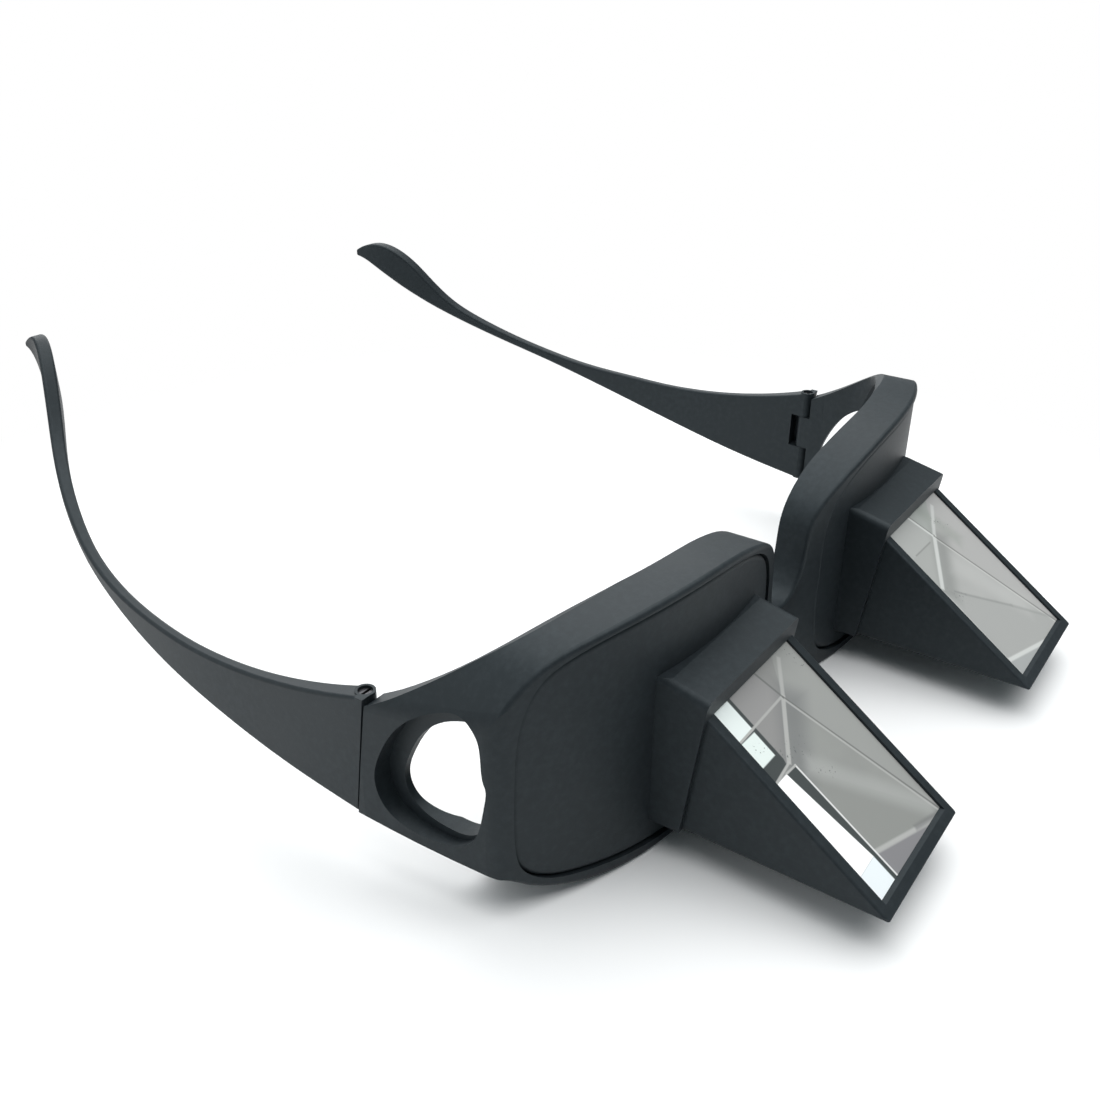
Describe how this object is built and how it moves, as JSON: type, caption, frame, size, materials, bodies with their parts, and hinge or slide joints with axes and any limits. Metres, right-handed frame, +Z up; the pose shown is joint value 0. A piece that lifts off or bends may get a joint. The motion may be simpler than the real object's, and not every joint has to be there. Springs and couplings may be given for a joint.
{
  "type": "prism bed glasses",
  "caption": "Spectacles with wedge prism housings in front of the eyes, wraparound front with side vents, and temples that fold on screwed hinges.",
  "frame": {"origin": "centre of the whole part's footprint, on the surface that it stands on", "axes": "+Z up as the part stands, which is down when it is worn; +Y from the front towards the temple tips; +X to the wearer's right"},
  "size_m": [0.1444, 0.1761, 0.0529],
  "materials": {
    "black_plastic": "matt injection-moulded plastic",
    "optical_glass": "polished clear optical glass",
    "screw_steel": "dark plated steel"
  },
  "bodies": {
    "front": {"front_frame": "black_plastic", "front_panel_left": "black_plastic", "front_panel_right": "black_plastic", "prism_housing_left": "black_plastic", "prism_housing_right": "black_plastic", "prism_left": "optical_glass", "prism_right": "optical_glass", "eye_bezel_left": "black_plastic", "eye_bezel_right": "black_plastic"},
    "left_temple": {"temple_left": "black_plastic", "hinge_screw_left": "screw_steel"},
    "right_temple": {"temple_right": "black_plastic", "hinge_screw_right": "screw_steel"}
  },
  "joints": [
    {"name": "left_temple_fold", "type": "hinge", "parent": "front", "child": "left_temple", "pos_m": [-0.0701, -0.02165, 0.02], "axis": [0, 0, -1], "range_deg": [0, 85]},
    {"name": "right_temple_fold", "type": "hinge", "parent": "front", "child": "right_temple", "pos_m": [0.0701, -0.02165, 0.02], "axis": [0, 0, 1], "range_deg": [0, 76]}
  ]
}
